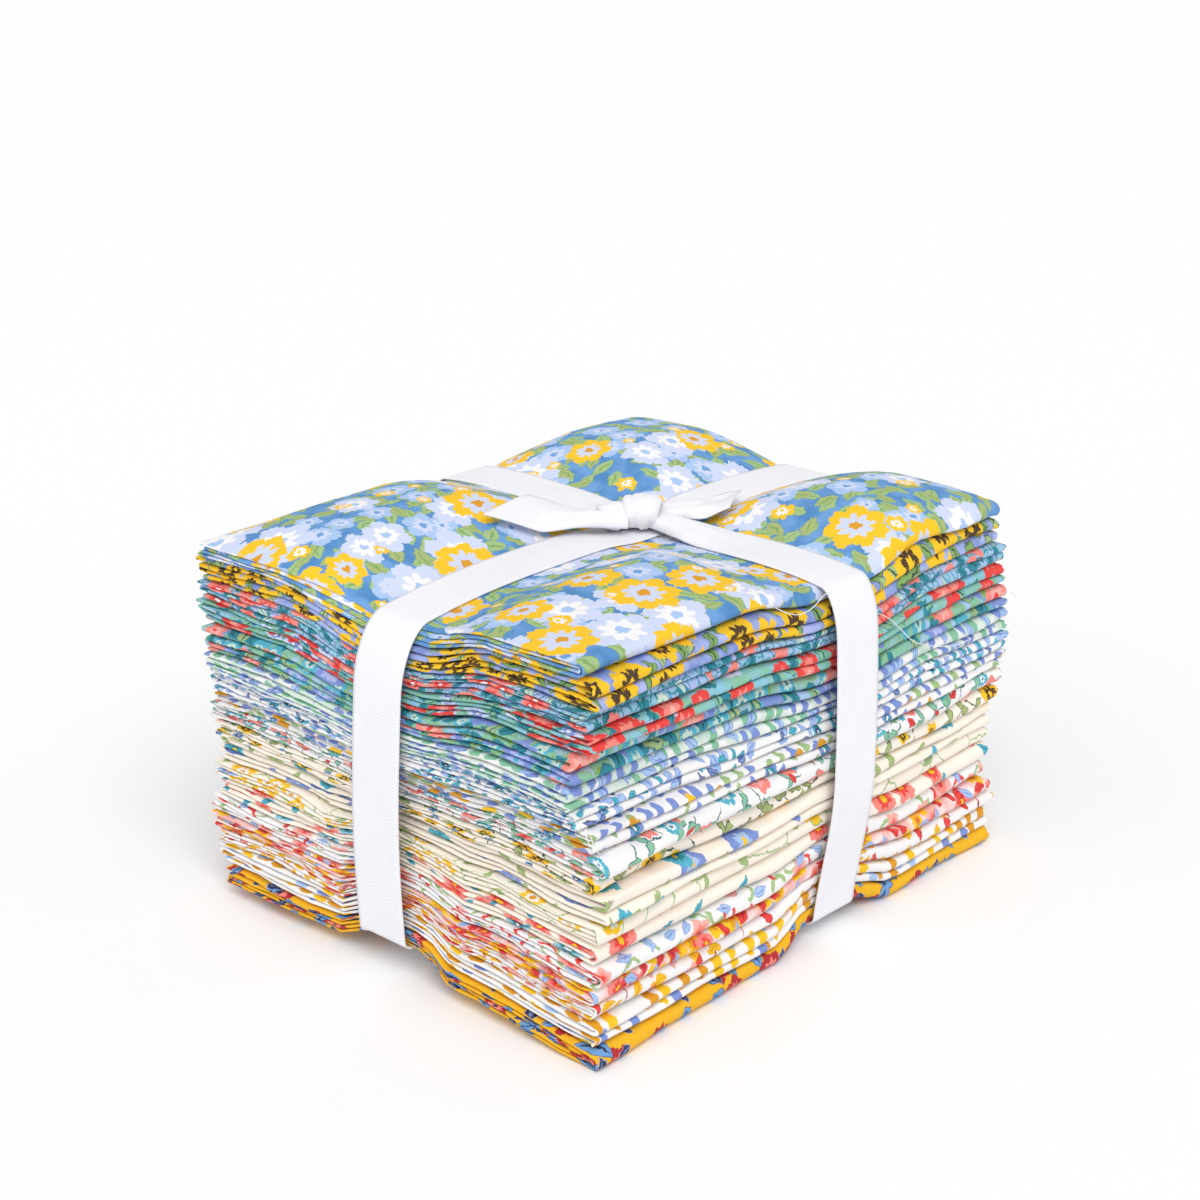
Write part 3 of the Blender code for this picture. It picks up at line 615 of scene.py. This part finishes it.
def printed_cotton(number):
    """The material of one cut: its ground, then each motif of its print in turn."""
    material, tree, shader = new_material(f"printed_cotton_{number:02d}")
    place = cloth_place(tree)
    flat = {"noise_dimensions": "2D"}
    grain = place.node("TexNoise", flat, {"Vector": place, "Scale": 0.45, "Detail": 2.0}, "Color")
    shift = grain.node("VectorMath", {"operation": "MULTIPLY_ADD"},
                       {0: grain, 1: (INK_WANDER,) * 3, 2: (number * 91.0, number * 57.0, 0.0)})
    inked = place.node("VectorMath", {"operation": "ADD"}, {0: place, 1: shift})
    broad = place.node("TexNoise", flat, {"Vector": place, "Scale": 0.16, "Detail": 3.0})
    patches = (broad - 0.5).maths("MULTIPLY_ADD", 3.0, 0.5, clamp=True)
    colour = lay(COLOURS[GROUNDS[number - 1]], COLOURS[SHADOWS[number - 1]], patches)
    for seed, row in enumerate(PRINTS):
        if row["cut"] == number:
            inks = {key: COLOURS[row[key]] for key in ("first", "second", "third") if key in row}
            colour = MOTIFS[row["motif"]](inked, colour, {**row, **inks, "seed": seed})
    threads = weave(place, THREAD, THREAD)
    colour = lay(colour, (1.0, 1.0, 1.0, 1.0), (threads * 0.03).maths("ADD", 0.02, clamp=True))
    height = threads * 0.35 + broad * HANDLING
    finish_cloth(tree, shader, colour, height, 0.00006, 0.85)
    return material


COTTONS = [printed_cotton(number) for number in range(1, len(CUTS) + 1)]
print("prints:", len(COTTONS), "motif layers:", len(PRINTS))

# %% [markdown]
# ## One folded cut
# A fat quarter is folded in three one way and then in four the other, so it lies twelve layers deep. The
# first folds make a flat sandwich of three layers: its shape across the stack is a short path, with one
# wide fold on the left end that wraps the other layers. The next folds carry that sandwich along a second
# path, down the plies and round a roll at the front or the back. The two paths multiplied are the surface.

# %% Path through the plies
PLIES = 4
SANDWICH = 0.32
Y_STATIONS = np.linspace(-57.0, 57.0, 22)
X_STATIONS = np.concatenate([[-76.5, -74.0, -71.0], np.linspace(-67.0, 67.0, 24), [71.0, 75.0]])
TUCK = 3.0
TURN_POINTS = 7


def ply_path(cut):
    """The path across the stack, from the raw edge at the top of the back, ply by ply, to its other end.

    Two rolls: the plies follow one another downwards. One roll: the first turn goes round all the others, so
    the order is first, fourth, third, second. A turn is half an ellipse. Returned for each point: its plain y,
    its level above the cut's underside, the sandwich's half thickness, how far it moves with the front and
    with the back edge, and its ply.
    """
    thickness = cut["thickness"]
    if cut["rolls"] == 2:
        upper = thickness * cut["upper"]
        lower = thickness - upper
        levels = [thickness - upper * 0.25, thickness - upper * 0.75, lower * 0.75, lower * 0.25]
        pitches = [upper / 2, upper / 2, lower / 2, lower / 2]
        insets = [0.0, 0.0, 0.0]
    else:
        pitch = thickness / PLIES
        levels = [thickness - pitch * 0.5, pitch * 0.5, pitch * 1.5, pitch * 2.5]
        pitches = [pitch] * PLIES
        insets = [0.0, 0.0, pitch]
    points = []
    for ply in range(PLIES):
        to_front = ply % 2 == 0
        half = SANDWICH * pitches[ply]
        run = Y_STATIONS[::-1] if to_front else Y_STATIONS
        if ply == 0:
            points.append((WIDTH / 2, levels[ply], half, 0.0, 1.0, ply))
        points.extend((y, levels[ply], half, 0.0, 0.0, ply) for y in run)
        if ply == PLIES - 1:
            points.append((WIDTH / 2 - 1.5, levels[ply], half, 0.0, 1.0, ply))
            break
        side = -1.0 if to_front else 1.0
        middle, radius = (levels[ply] + levels[ply + 1]) / 2, (levels[ply] - levels[ply + 1]) / 2
        edge = WIDTH / 2 - insets[ply] - SANDWICH * pitches[ply]
        for step in range(TURN_POINTS + 1):
            angle = np.pi * step / TURN_POINTS
            out = edge - abs(radius) * (1.0 - np.sin(angle))
            share = step / TURN_POINTS
            depth = SANDWICH * (pitches[ply] * (1.0 - share) + pitches[ply + 1] * share)
            points.append((side * out, middle + radius * np.cos(angle), depth, float(to_front),
                           float(not to_front), ply + share))
    return np.array(points).T


# %% Path through the layers
def layer_path():
    """The path of the three layers across the stack, from the raw edge on the right of the upper one.

    Returned for each point: its plain x, its height in the sandwich from -1 to 1, and how far it moves with
    the left and the right end. The wide fold on the left and the small one on the right are half rounds, as
    large as the sandwich is thick, so their own x is given in half thicknesses.
    """
    rounds = np.linspace(0.0, np.pi, 7)
    small = np.linspace(0.0, np.pi, 5)
    half = LENGTH / 2
    stations = len(X_STATIONS)
    x = np.concatenate([[half - 1.0], X_STATIONS[::-1], np.full(7, -half), X_STATIONS, np.full(5, half),
                        X_STATIONS[::-1], [-half + TUCK]])
    height = np.concatenate([np.full(stations + 1, 1.0), np.cos(rounds), np.full(stations, -1.0),
                             -0.5 - 0.5 * np.cos(small), np.zeros(stations + 1)])
    round_x = np.concatenate([np.zeros(stations + 1), 1.0 - np.sin(rounds), np.zeros(stations),
                              0.5 * np.sin(small) - 0.5, np.zeros(stations + 1)])
    left = (x < -half + 2 * TUCK) & (np.abs(x) > 79.0)
    right = (x > half - 2 * TUCK) & (np.abs(x) > 78.0)
    left[-1] = True
    return x, height, round_x, left.astype(float), right.astype(float)


# %% The two paths together
def folded_cut(number, cut, base_level):
    """Point arrays of one folded fat quarter, rows along the ply path and columns along the layer path."""
    y, level, depth, with_front, with_back, ply = (row[:, None] for row in ply_path(cut))
    x, height, round_x, with_left, with_right = (row[None, :] for row in layer_path())
    tangent_y = np.gradient(y[:, 0])
    tangent_z = np.gradient(level[:, 0])
    length = np.hypot(tangent_y, tangent_z) + 1e-9
    normal_y, normal_z = (tangent_z / length)[:, None], (-tangent_y / length)[:, None]
    ragged = 0.45 * wander(number * 7 + 1, (y, 45.0), (ply, 1.1))
    ragged = ragged + 0.25 * wander(number * 7 + 2, (y, 12.0), (ply, 0.7))
    full_x = x + round_x * depth - with_left * (cut["left"] + ragged) + with_right * (cut["right"] + ragged)
    share = np.clip(full_x / LENGTH + 0.5, 0.0, 1.0)
    front = cut["front_left"] + (cut["front_right"] - cut["front_left"]) * share
    back = cut["back_left"] + (cut["back_right"] - cut["back_left"]) * share
    roll = 0.45 * wander(number * 7 + 3, (full_x, 60.0), (ply, 1.6))
    full_y = y + normal_y * height * depth - with_front * (front + roll) + with_back * (back + roll)
    full_level = base_level + level + normal_z * height * depth
    return full_x, full_y, full_level


def flat_place(points):
    """How far each point of a path is along it, from its first point."""
    return np.concatenate([[0.0], np.cumsum(np.hypot(*np.diff(points, axis=1)))])


print("points on a path through the plies:", ply_path(CUTS[0]).shape[1], "and layers:", len(layer_path()[0]))

# %% [markdown]
# A few threads have come loose from the raw edges. Each is a fine tube along a smooth line, and is listed under
# the cut that it comes from.

# %% Loose threads
THREAD_RADIUS = 0.11
THREAD_SIDES = 6
THREADS = (
    (2, ((3.0, -67.0, 92.5), (-1.5, -67.8, 93.0), (-4.1, -67.9, 91.4), (-7.8, -67.9, 90.3),
         (-11.6, -67.8, 90.5), (-16.0, -67.4, 92.5), (-18.4, -66.8, 94.0))),
    (5, ((16.5, -67.2, 84.6), (21.0, -67.8, 82.3), (25.6, -67.9, 79.8), (31.0, -68.1, 75.0),
         (35.1, -68.1, 71.4), (40.0, -68.1, 68.9), (47.6, -67.9, 66.2), (55.0, -67.8, 64.4),
         (61.7, -67.2, 63.9))),
    (6, ((80.5, -64.5, 71.5), (82.5, -65.5, 71.8), (84.6, -65.6, 70.4), (85.4, -66.4, 68.6))),
    (9, ((-80.5, -65.5, 59.0), (-82.4, -66.8, 60.6), (-83.6, -68.0, 59.4), (-83.2, -68.9, 57.2))),
    (9, ((-80.5, -66.5, 58.0), (-82.0, -68.2, 58.4), (-82.4, -69.4, 56.6), (-81.4, -70.0, 55.0))),
    (8, ((80.5, -64.5, 56.5), (83.2, -65.3, 57.6), (85.0, -65.2, 56.6))),
)


def smooth_line(points, rounds=3):
    """Corner cutting: each round puts two points on every stretch, at a quarter and at three quarters of it."""
    line = np.array(points)
    for _ in range(rounds):
        start, end = line[:-1], line[1:]
        inner = np.stack([0.75 * start + 0.25 * end, 0.25 * start + 0.75 * end], 1)
        line = np.vstack([line[:1], inner.reshape(-1, 3), line[-1:]])
    return line


def add_thread(name, points, material):
    """Tube of rings about a smooth line: line + radius (side cos angle + up sin angle)."""
    line = smooth_line(points)
    ahead = np.gradient(line, axis=0)
    side = np.cross(ahead, (0.3, 1.0, 0.2))
    up = np.cross(side, ahead)
    side, up = (way / np.linalg.norm(way, axis=1, keepdims=True) for way in (side, up))
    angle = np.linspace(0.0, 2 * np.pi, THREAD_SIDES + 1)[None, :, None]
    rings = line[:, None] + THREAD_RADIUS * (side[:, None] * np.cos(angle) + up[:, None] * np.sin(angle))
    around, along = np.meshgrid(np.arange(THREAD_SIDES + 1.0), np.arange(float(len(line))))
    piece = add_sheet(name, *np.moveaxis(rings, -1, 0), around, along, material)
    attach(piece, "root")
    return piece


def plain_paint(name, colour, roughness):
    """A material of one colour."""
    material, _, shader = new_material(name)
    shader.inputs["Base Color"].default_value = colour
    shader.inputs["Roughness"].default_value = roughness
    return material


thread_cotton = plain_paint("thread_cotton", paint("F2F0EC"), 0.9)
LOOSE = {number: [] for number in range(1, len(CUTS) + 1)}
for index, (number, points) in enumerate(THREADS, 1):
    thread = add_thread(f"loose_thread_{index}", points, thread_cotton)
    LOOSE[number].append(thread)
print("loose threads:", len(THREADS))

# %% [markdown]
# The stack as a whole is uneven too: a slow wander shifts every cut's edge a little, the same for cuts that
# touch, so that they stay in contact.

# %% Make the cuts
FRONT_BELLY = 2.2
LEVEL_WANDER, EDGE_WANDER = 0.55, 0.35
FOLD_Y, FOLD_X = 57.5, 76.6
level_now = STACK_HEIGHT
for number, cut in enumerate(CUTS, 1):
    level_now -= cut["thickness"]
    x, y, level = folded_cut(number, cut, level_now)
    level_now -= CLOTH_GAP
    inner = 1.0 - np.abs(2 * level / STACK_HEIGHT - 1.0) ** 6
    edge_share = ease((np.maximum(np.abs(x) / 80.0, np.abs(y) / 65.0) - 0.75) / 0.25)
    level = level + LEVEL_WANDER * inner * edge_share * wander(901, (x, 55.0), (y, 55.0), (level, 22.0))
    y = y + EDGE_WANDER * edge_share * wander(902, (x, 40.0), (level, 9.0)) * (np.abs(y) > FOLD_Y)
    x = x + EDGE_WANDER * edge_share * wander(903, (y, 40.0), (level, 9.0)) * (np.abs(x) > FOLD_X)
    rise = np.clip(level / STACK_HEIGHT, 0.0, 1.0)
    belly = 4.0 * rise * (1.0 - rise) * (1.0 - ease((np.abs(x - SHORT_LINE_X) - 8.0) / 60.0))
    y = y - FRONT_BELLY * belly * ease((-y - 45.0) / 20.0)
    x, y = press_in(x, y, level)
    z = settle(x, y, level)
    across = layer_path()
    flat_v = np.broadcast_to(flat_place(ply_path(cut)[:2])[:, None], x.shape)
    flat_u = np.broadcast_to(flat_place(np.array([across[0] + across[2], across[1]]))[None, :], x.shape)
    name = f"cotton_cut_{number:02d}"
    piece = add_sheet(name, x, y, z, flat_u, flat_v, COTTONS[number - 1])
    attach(piece, "root")
    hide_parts(f"fat_quarter_{number:02d}")
    below = f"cotton_cut_{number + 1:02d}" if number < len(CUTS) else "surface"
print("cotton cuts:", len(CUTS), "faces each:", len(piece.data.polygons))

# %% [markdown]
# ## Ribbon
# One flat white ribbon goes round the stack both ways. It is a thin woven band with fine ribs across it. Each
# run is a path with a width: along the top it follows the cotton, and down the sides it hangs taut.

# %% Ribbon material
RIB = 0.45


def woven_ribbon():
    """White ribbon: fine ribs across it, a hint of shade in their valleys."""
    material, tree, shader = new_material("woven_ribbon")
    place = cloth_place(tree)
    ribs = weave(place, RIB * 2.2, RIB)
    slow = place.node("TexNoise", {"noise_dimensions": "2D"}, {"Vector": place, "Scale": 0.12, "Detail": 2.0})
    colour = lay(paint("F4F4F8"), paint("E4E4F0"), (ribs * 0.3 + slow * 0.4).maths("ADD", 0.0, clamp=True))
    finish_cloth(tree, shader, colour, ribs * 0.6 + slow * 3.0, 0.00008, 0.55)
    return material


RIBBON_MATERIAL = woven_ribbon()
ACROSS = np.linspace(-0.5, 0.5, 17)[None, :]
print("ribbon width:", RIBBON_WIDTH, "mm")

# %% [markdown]
# A gathered ribbon does not shrink: it curls up. Its section here is a flattened arc whose length is always
# the ribbon's width, so one number, the curl, takes it from flat cloth to the narrow tube beside the knot.
# Fine pleats run along it where it is curled.

# %% Ribbon section
FLATTEN = 0.55
PLEAT_HEIGHT = 0.22


def curled(curl):
    """Offsets across and up of a ribbon curled through an arc of half angle curl, of unchanged length."""
    curl = np.maximum(curl, 0.02)
    radius = RIBBON_WIDTH / (2.0 * curl)
    angle = 2.0 * ACROSS * curl
    pleats = PLEAT_HEIGHT * np.minimum(curl, 1.0) * np.sin(2 * np.pi * (3.2 * ACROSS + 0.1 * curl))
    return radius * np.sin(angle), FLATTEN * radius * (np.cos(angle) - np.cos(curl)) + pleats


# %% Runs of the ribbon
def lay_run(heights, along, line, turned, curl=0.0, lift=0.0):
    """Rows of a run that lies on a height map. Along is its place on the run, line the place of its middle
    across it, and turned says that the run goes along y. Returned as x, y, z arrays."""
    values = (along, line, curl, lift)
    along, line, curl, lift = (np.broadcast_to(value, len(along))[:, None] for value in values)
    across, rise = curled(curl)
    run, side = along + 0.0 * ACROSS, line + across
    x, y = (side, run) if turned else (run, side)
    return np.stack([x, y, heights(x, y) + lift + rise])


def fall_run(side):
    """Rows down one side, from the end of the run on top to the start of the run beneath: the shoulder, a
    taut fall and a bend at the foot."""
    ends = ((ribbon_top, "top_end", "line"), (ribbon_under, "foot_end", "foot_line"))
    head, foot = (lay_run(heights, side["sign"] * np.array([side[end]]), side[line], side["turned"])[2]
                  for heights, end, line in ends)
    quarter = np.linspace(0.0, np.pi / 2, 12)[:, None]
    share = np.linspace(0.0, 1.0, 30)[1:-1, None]
    z = np.vstack([head - side["drop"] * (1.0 - np.cos(quarter)),
                   (head - side["drop"]) * (1.0 - share) + (foot + FOOT_BEND) * share,
                   foot + FOOT_BEND * (1.0 - np.sin(quarter))])
    bend = np.vstack([0.0 * quarter, 0.0 * share, 1.0 - np.cos(quarter)])
    out = strap_out(side, np.maximum(z, foot + FOOT_BEND), head, foot) - FOOT_BEND * bend
    across = strap_line(side, z, head, foot) + ACROSS * RIBBON_WIDTH
    return np.stack([*at_side(side, out, across), z])


def add_ribbon(name, points, node):
    """A ribbon from its rows of points, with its thickness, in place of its solid in the plain model."""
    middle = points[:, :, points.shape[2] // 2]
    along = np.concatenate([[0.0], np.cumsum(np.sqrt((np.diff(middle, axis=1) ** 2).sum(0)))])
    shape = points.shape[1:]
    piece = add_sheet(name, *points, np.broadcast_to(ACROSS * RIBBON_WIDTH, shape),
                      np.broadcast_to(along[:, None], shape), RIBBON_MATERIAL)
    thick = piece.modifiers.new("thickness", "SOLIDIFY")
    thick.thickness = RIBBON_THICKNESS * MILLIMETRE
    thick.offset = 0.0
    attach(piece, "root")
    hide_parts(node)
    print(name + ":", round(float(along[-1])), "mm of ribbon")
    return piece


# %% Long loop
left, right = SIDES["left"], SIDES["right"]
left_under = np.linspace(0.0, left["foot_end"], 40)[:-1]
right_under = np.linspace(0.0, right["foot_end"], 40)[:-1]
lean = (left["foot_line"] - LONG_LINE_Y) * ease(left_under / left["foot_end"])
long_rows = np.concatenate([
    lay_run(ribbon_under, -left_under, LONG_LINE_Y + lean, False),
    fall_run(left)[:, ::-1],
    lay_run(ribbon_top, np.linspace(-left["top_end"], right["top_end"], 97)[1:-1], LONG_LINE_Y, False),
    fall_run(right),
    lay_run(ribbon_under, right_under[::-1], LONG_LINE_Y, False)], axis=1)
add_ribbon("ribbon_long_way", long_rows, "ribbon_long_loop")

# %% [markdown]
# The short loop dips under the long one beneath the stack, and both its ends rise to the knot. Its front end
# is gathered for a good two widths of the ribbon, so it leaves the knot as a tube and opens slowly.

# %% Short loop
KNOT_Y = -1.5
GATHER_LENGTH, UNDER_DIP = 32.0, 1.3
front, back = SIDES["front"], SIDES["back"]
front_y = np.linspace(-front["top_end"], KNOT_Y - 3.0, 60)[1:][::-1]
back_y = np.linspace(KNOT_Y + 2.5, back["top_end"], 60)[:-1][::-1]
under_y = np.linspace(-front["foot_end"], back["foot_end"], 80)[1:-1]
front_away, back_away = KNOT_Y - 6.5 - front_y, back_y - KNOT_Y - 6.5
short_rows = np.concatenate([
    lay_run(ribbon_top, front_y, SHORT_LINE_X, True, 2.0 * (1.0 - ease(front_away / GATHER_LENGTH)) ** 1.5,
            1.9 * (1.0 - ease((front_away + 4.0) / 22.0))),
    fall_run(front),
    lay_run(ribbon_under, under_y, SHORT_LINE_X, True, 0.0,
            -UNDER_DIP * (1.0 - ease((np.abs(under_y) - 12.0) / 12.0))),
    fall_run(back)[:, ::-1],
    lay_run(ribbon_top, back_y, SHORT_LINE_X, True, 1.2 * (1.0 - ease(back_away / 16.0)),
            1.9 * (1.0 - ease((back_away + 4.0) / 14.0)))], axis=1)
add_ribbon("ribbon_short_way", short_rows, "ribbon_short_loop")

# %% [markdown]
# The two cut ends start inside the knot, curled up, and flatten as they go. Both are cut on a slant, so one
# edge is longer than the other.

# %% Cut ends
TAILS = table("name node root_x root_y heading right_edge left_edge root_lift tip_lift open_by", (
    ("ribbon_end_left", "ribbon_tail_left", -1.6, 2.6, 138.0, 18.5, 30.5, 2.6, 2.3, 0.75),
    ("ribbon_end_right", "ribbon_tail_right", 17.0, -5.6, -30.0, 12.0, 21.0, 2.4, 2.4, 0.9),
))
ROOT_SHARE, ROOT_LENGTH = -0.28, 22.0


def tail_rows(tail):
    """Rows of a cut end: root + heading times share times the edge's own length, curled near the root."""
    share = np.linspace(ROOT_SHARE, 1.0, 48)[:, None]
    heading = np.radians(tail["heading"])
    opened = ease(share / tail["open_by"])
    across, rise = curled(1.9 * (1.0 - opened))
    edges = tail["right_edge"] + (tail["left_edge"] - tail["right_edge"]) * (ACROSS + 0.5)
    ahead = np.where(share > 0.0, edges, ROOT_LENGTH) * share
    x = tail["root_x"] + np.cos(heading) * ahead - np.sin(heading) * across
    y = tail["root_y"] + np.sin(heading) * ahead + np.cos(heading) * across
    lift = tail["root_lift"] + (tail["tip_lift"] - tail["root_lift"]) * ease(share)
    wave = 0.35 * np.sin(2 * np.pi * (share * 0.9 + ACROSS * 0.7)) * opened
    return np.stack([x, y, ribbon_top(x, y) + lift + rise + wave])


for tail in TAILS:
    add_ribbon(tail["name"], tail_rows(tail), tail["node"])

# %% [markdown]
# The knot itself is the ribbon gathered into a band that wraps the crossing, with a smaller turn beside it
# from which the left end comes. Each is a barrel: a closed loop one way, rounded in at its rims the other
# way, with slanting pleats that follow the ribbon.

# %% Knot
KNOT_TURNS = table("x y height heading half_length half_height width slant pleats", (
    (7.7, -2.5, 4.9, 38.0, 6.3, 4.1, 9.0, 0.16, 3.4),
    (2.0, 2.0, 4.0, 62.0, 4.6, 3.3, 7.0, -0.12, 2.6),
))


def knot_turn(turn):
    """Rows round a barrel: cos and sin of the way round times its half sizes, shrunk by
    0.42 + 0.58 sqrt(cos(pi across)) towards its rims and by the pleats."""
    around = np.linspace(0.0, 2 * np.pi, 73)[:, None]
    across = ACROSS * 0.96
    rim = 0.42 + 0.58 * np.sqrt(np.cos(np.pi * across))
    count, slant = turn["pleats"], turn["slant"]
    pleats = 1.0 + 0.055 * np.cos(2 * np.pi * (count * across + slant * np.sin(around)))
    pleats = pleats + 0.025 * np.cos(2 * np.pi * (2.3 * count * across - slant * np.cos(around)))
    heading = np.radians(turn["heading"])
    ahead = turn["half_length"] * rim * pleats * np.cos(around)
    side = turn["width"] / 2 * np.sin(np.pi * across) * (1.0 + 0.12 * np.sin(around + 0.6))
    x = turn["x"] + np.cos(heading) * ahead + np.sin(heading) * side
    y = turn["y"] + np.sin(heading) * ahead - np.cos(heading) * side
    floor = float(ribbon_top(turn["x"], turn["y"]))
    return np.stack([x, y, floor + turn["height"] + turn["half_height"] * rim * pleats * np.sin(around)])


for index, turn in enumerate(KNOT_TURNS, 1):
    add_ribbon(f"ribbon_knot_turn_{index}", knot_turn(turn), "ribbon_knot")

# %% [markdown]
# ## Stage, light and camera
# The bundle stands on a plain pale floor under wide soft lights, and the camera has the picture's angle.

# %% Stage and camera
FLOOR_SIZE = 14.0
bpy.ops.mesh.primitive_plane_add(size=FLOOR_SIZE, location=(0.0, 0.0, -0.0002))
floor = bpy.context.object
floor.name = "floor"
floor.data.materials.append(plain_paint("pale_floor", (0.965, 0.965, 0.97, 1.0), 0.9))

world = bpy.data.worlds.new("studio")
world.use_nodes = True
sky = world.node_tree.nodes["Background"]
sky.inputs["Color"].default_value = (1.0, 1.0, 1.0, 1.0)
sky.inputs["Strength"].default_value = 0.62
bpy.context.scene.world = world

LIGHTS = table("name place softness strength", (
    ("key", (-0.7, -1.0, 1.5), 40.0, 1.5),
    ("fill", (-1.3, 0.1, 0.9), 60.0, 0.3),
))
for light in LIGHTS:
    lamp = bpy.data.lights.new(light["name"], "SUN")
    lamp.energy = light["strength"]
    lamp.angle = np.radians(light["softness"])
    lamp_object = bpy.data.objects.new(light["name"], lamp)
    lamp_object.location = light["place"]
    aim = -lamp_object.location
    lamp_object.rotation_euler = aim.to_track_quat("-Z", "Y").to_euler()
    bpy.context.scene.collection.objects.link(lamp_object)

AZIMUTH, ELEVATION = -47.3, 19.7
camera = bpy.data.cameras.new("camera")
camera.lens = 69.3
camera.sensor_width = 36.0
camera_object = bpy.data.objects.new("camera", camera)
camera_object.location = (-0.4123, -0.3755, 0.2745)
camera_object.rotation_euler = (np.radians(90.0 - ELEVATION), 0.0, np.radians(AZIMUTH))
bpy.context.scene.collection.objects.link(camera_object)
bpy.context.scene.camera = camera_object
bpy.context.scene.view_settings.view_transform = "Standard"
